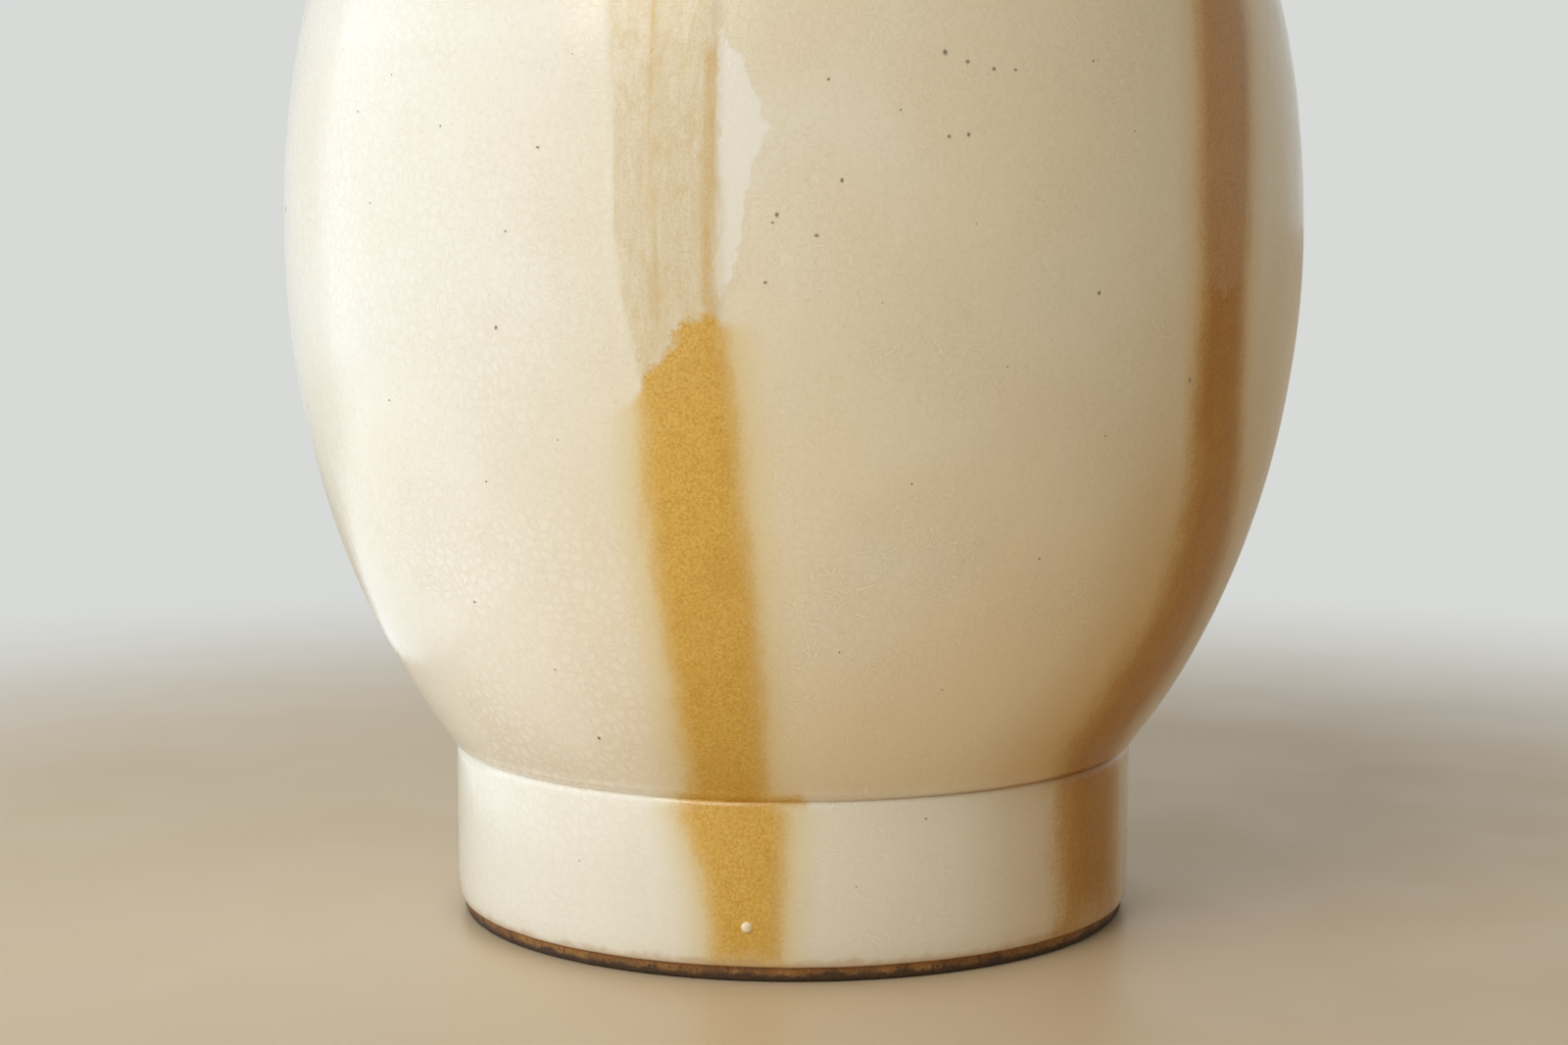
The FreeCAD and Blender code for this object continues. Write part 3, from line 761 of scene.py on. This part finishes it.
# Iron specks. Grains of iron in the clay bleed up through the glaze as grey-brown dots of about a millimetre,
# scattered all round, with a loose cluster high on the front. Each is a low dome that melts into the glaze.
SPECKS = (
    (14.85, 250.4, 0.75), (17.15, 248.1, 0.7), (19.9, 246.4, 0.65), (22.25, 246.2, 0.6), (3.2, 243.5, 0.6),
    (31.4, 248.8, 0.55), (4.45, 218.5, 0.65), (15.0, 229.4, 0.6), (17.0, 229.9, 0.6), (-1.8, 210.0, 0.65),
    (-2.2, 208.0, 0.5), (2.0, 204.8, 0.75), (17.7, 207.6, 0.7), (25.5, 194.1, 0.7), (31.5, 189.6, 0.7),
    (-2.9, 193.1, 0.6), (-48.8, 212.4, 0.7), (-46.3, 246.1, 0.6), (-26.0, 226.8, 0.65), (-31.1, 180.7, 0.65),
    (-47.7, 159.8, 0.6), (-34.5, 139.8, 0.7), (-40.7, 105.4, 0.7), (45.5, 165.4, 0.7), (27.8, 119.8, 0.6),
    (-27.8, 68.2, 0.6), (20.8, 44.8, 0.6), (49.8, 253.0, 0.5), (10.2, 236.0, 0.4), (26.6, 222.5, 0.4),
    (36.2, 231.0, 0.4), (8.4, 188.0, 0.4), (21.4, 171.2, 0.4), (33.9, 152.0, 0.4), (12.0, 141.4, 0.4),
    (-22.6, 250.2, 0.4), (-38.2, 232.4, 0.4), (-29.6, 205.5, 0.4), (-52.0, 236.6, 0.45), (-24.8, 152.0, 0.4),
    (5.2, 96.0, 0.4), (18.6, 84.2, 0.4), (-31.0, 88.0, 0.4), (38.8, 92.4, 0.4), (-36.0, 30.2, 0.4),
    (9.6, 27.0, 0.4),
)
SCATTER_SEED = 20
BACK_SPECKS = 95
UPPER_SPECKS = 26
SPECK_RIM = fired(190, 180, 154)
SPECK_HEART = fired(122, 112, 96)

speck_places = list(SPECKS)
scatter = np.random.default_rng(SCATTER_SEED)
for _ in range(BACK_SPECKS):
    far_angle, far_level = scatter.uniform(68, 292), scatter.uniform(60, 385)
    speck_places.append((far_angle, far_level, scatter.uniform(0.35, 0.75)))
for _ in range(UPPER_SPECKS):
    speck_places.append((scatter.uniform(-60, 62), scatter.uniform(268, 382), scatter.uniform(0.35, 0.75)))


def coat_place(angle, level):
    """Point on the outside of the glaze at an angle from the front and a level, and how far it leans."""
    radii, levels = np.array(foot_front[:-1] + body_outline).T
    radius = np.interp(level, levels, radii)
    above, below = (np.interp(level + step, levels, radii) for step in (1.0, -1.0))
    lean = math.atan2(below - above, 2.0)
    x, y = radius * math.sin(math.radians(angle)), -radius * math.cos(math.radians(angle))
    return (x * MM, y * MM, level * MM), lean


bpy.ops.object.select_all(action="DESELECT")
bpy.ops.mesh.primitive_circle_add(vertices=10, radius=MM, fill_type="NGON")
speck = bpy.context.object
speck.name = "iron_specks"
bpy.ops.object.mode_set(mode="EDIT")
bpy.ops.mesh.select_all(action="SELECT")
bpy.ops.mesh.inset(thickness=0.35 * MM, depth=0.05 * MM)
bpy.ops.mesh.inset(thickness=0.35 * MM, depth=0.03 * MM)
bpy.ops.mesh.poke()
bpy.ops.object.mode_set(mode="OBJECT")
note(speck, "heart", [1 - math.hypot(v.co.x, v.co.y) / MM for v in speck.data.vertices])
copies = []
for angle, level, size in speck_places:
    copy = speck.copy()
    copy.data = speck.data.copy()
    bpy.context.collection.objects.link(copy)
    copy.location, lean = coat_place(angle, level)
    copy.rotation_euler = (math.pi / 2 - lean, 0, math.radians(angle))
    copy.scale = (0.85 * size, size * (0.85 + 0.3 * math.sin(angle * 9)), 1.6)
    copies.append(copy)
bpy.ops.object.select_all(action="DESELECT")
bpy.data.objects.remove(speck)
for copy in copies:
    copy.select_set(True)
bpy.context.view_layer.objects.active = copies[0]
bpy.ops.object.transform_apply(location=True, rotation=True, scale=True)
bpy.ops.object.join()
specks = bpy.context.object
specks.name = specks.data.name = "iron_specks"
bpy.ops.object.shade_smooth()
bleed = Finish("iron_specks", roughness=0.2, ior=1.52)
heart = bleed.sum("ADD", bleed.kept("heart"), bleed.step(bleed.cloud(0.3, 2), 0.3, 0.7, (-0.15, 0.15)))
tint = bleed.over(bleed.step(heart, 0.15, 0.7), SPECK_RIM, SPECK_HEART)
rough = bleed.step(bleed.cloud(1.0), 0.3, 0.7, (0.16, 0.26))
wear(specks, bleed.finish(tint, rough, bleed.relief(heart, 0.01)))
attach(specks, "root")

# Blister. One bubble of glaze, about 3 mm across, has stopped near the lower end of the front run, where it
# stands proud of the foot's side. It is of the same glaze and paler than the run, and its pale top is partly a
# painted highlight.
BLISTER_RADIUS = 1.5
BLISTER_ANGLE, BLISTER_LEVEL = -7.3, 15.9
BLISTER_PALE_AND_HIGHLIGHT = fired(246, 232, 200)
BLISTER_TAN = fired(232, 208, 160)

bpy.ops.object.select_all(action="DESELECT")
bpy.ops.mesh.primitive_uv_sphere_add(segments=32, ring_count=16, radius=BLISTER_RADIUS * MM)
blister = bpy.context.object
blister.name = blister.data.name = "glaze_blister"
blister.location, lean = coat_place(BLISTER_ANGLE, BLISTER_LEVEL)
blister.rotation_euler = (math.pi / 2 - lean, 0, math.radians(BLISTER_ANGLE))
blister.scale = (1.1, 1.1, 0.72)
bpy.ops.object.transform_apply(location=True, rotation=True, scale=True)
bpy.ops.object.shade_smooth()
drop = Finish("blister_glaze", roughness=0.12, ior=1.52)
drop_grain = drop.cloud(0.8, 3, 0.6)
# Partly a painted highlight: the blister's pale colour.
drop_colour = drop.over(drop.step(drop_grain, 0.4, 0.62), BLISTER_PALE_AND_HIGHLIGHT, BLISTER_TAN)
drop_rough = drop.step(drop_grain, 0.3, 0.7, (0.1, 0.16))
wear(blister, drop.finish(drop_colour, drop_rough, drop.relief(drop_grain, 0.02)))
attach(blister, "root")

# Floor and room. A plain pale floor fades into a pale grey room, near the jar for the camera and farther out
# for what the glaze mirrors, which is darker on the right. Where the haze starts and ends is in millimetres.
ROOM = fired(216, 218, 216)
ROOM_DIM = (0.52, 0.5, 0.44, 1.0)
ROOM_FILL = (0.36, 0.34, 0.3, 1.0)
HAZE_DIM = (0.47, 0.4, 0.3, 1.0)
FLOOR_PALE = fired(214, 194, 162)
FLOOR_TAN = fired(209, 188, 156)
SEEN_HAZE = (280, 760)
MIRRORED_HAZE = (420, 1900)
DIM_HAZE = (60, 500)
DIM_ROOM = (0.35, 0.85)

bpy.ops.object.select_all(action="DESELECT")
bpy.ops.mesh.primitive_plane_add(size=24, location=(0, 0, 0))
floor = bpy.context.object
floor.name = "floor"
pale = Finish("pale_floor", roughness=0.6)
tone = pale.over(pale.step(pale.cloud(400.0, 3), 0.3, 0.7), FLOOR_PALE, FLOOR_TAN)
rough = pale.step(pale.cloud(60.0), 0.3, 0.7, (0.34, 0.42))
wear(floor, pale.finish(tone, rough, pale.relief(pale.cloud(2.0), 0.04)))
far = pale.add("ShaderNodeVectorMath", {0: pale.place}, output="Value", operation="LENGTH")
rays = pale.nodes.new("ShaderNodeLightPath").outputs
seen = pale.sum("MAXIMUM", rays["Is Camera Ray"], rays["Is Transmission Ray"])
seen_haze = pale.sum("MULTIPLY", pale.step(far, *SEEN_HAZE), seen)
mirrored_haze = pale.sum("MULTIPLY", pale.step(far, *MIRRORED_HAZE), rays["Is Glossy Ray"])
dim_share = pale.sum("MULTIPLY", pale.step(pale.along("X"), *DIM_HAZE), rays["Is Glossy Ray"])
haze = pale.add("ShaderNodeEmission", {"Color": pale.over(dim_share, ROOM, HAZE_DIM)})
fade = pale.sum("MAXIMUM", seen_haze, mirrored_haze)
faded = pale.add("ShaderNodeMixShader", {0: fade, 1: pale.surface.outputs[0], 2: haze})
pale.links.new(faded, pale.nodes["Material Output"].inputs["Surface"])

world = bpy.data.worlds.new("pale_room")
bpy.context.scene.world = world
world.use_nodes = True
room = Mixing(world.node_tree)
heading = room.nodes.new("ShaderNodeTexCoord").outputs["Generated"]
sideways = room.add("ShaderNodeSeparateXYZ", {"Vector": heading}, output="X")
mirrored = room.over(room.step(sideways, *DIM_ROOM, shape="LINEAR"), ROOM, ROOM_DIM)
rays = room.nodes.new("ShaderNodeLightPath").outputs
seen = room.sum("MAXIMUM", rays["Is Camera Ray"], rays["Is Transmission Ray"])
shown = room.sum("MAXIMUM", seen, rays["Is Glossy Ray"])
room.links.new(room.over(shown, ROOM_FILL, mirrored), room.nodes["Background"].inputs["Color"])

# Light and camera. A large soft window on the left with its glare low on the floor, a faint warm glow from the
# floor in front and a softbox high in front. The camera is at the photograph's place.
FACING_UP = (180, 0, 0)
LENS, SENSOR = 70, 36
CAMERA_PLACE = (-0.0028, -0.9146, 0.2203)
CAMERA_TILT = 83.461


def soft_light(name, place, aim, size, energy, tint):
    """A rectangular lamp that the camera does not see, turned by an aim in degrees."""
    lamp = bpy.data.lights.new(name, "AREA")
    lamp.shape, lamp.energy, lamp.color = "RECTANGLE", energy, tint
    lamp.size, lamp.size_y = size
    light = bpy.data.objects.new(name, lamp)
    bpy.context.scene.collection.objects.link(light)
    light.location, light.rotation_euler = place, [math.radians(turned) for turned in aim]
    light.visible_camera = False


soft_light("window", (-0.9, -0.45, 0.42), (90, 0, -90), (1.9, 0.82), 6.5, (0.58, 0.765, 1.0))
soft_light("low_window", (-0.53, -0.27, 0.004), FACING_UP, (0.64, 1.2), 2.2, (0.72, 0.87, 1.0))
soft_light("table_glow", (-0.1, -0.42, 0.004), FACING_UP, (1.0, 0.5), 0.3, (1.0, 0.9, 0.74))
soft_light("softbox", (-0.95, -1.4, 1.5), (52.5, 0, -34), (1.2, 1.2), 20.0, (1.0, 0.965, 0.88))

lens = bpy.data.cameras.new("photo_view")
lens.lens, lens.sensor_width = LENS, SENSOR
camera = bpy.data.objects.new("photo_view", lens)
bpy.context.scene.collection.objects.link(camera)
camera.location = CAMERA_PLACE
camera.rotation_euler = (math.radians(CAMERA_TILT), 0, 0)
bpy.context.scene.camera = camera
bpy.context.scene.view_settings.view_transform = "Standard"
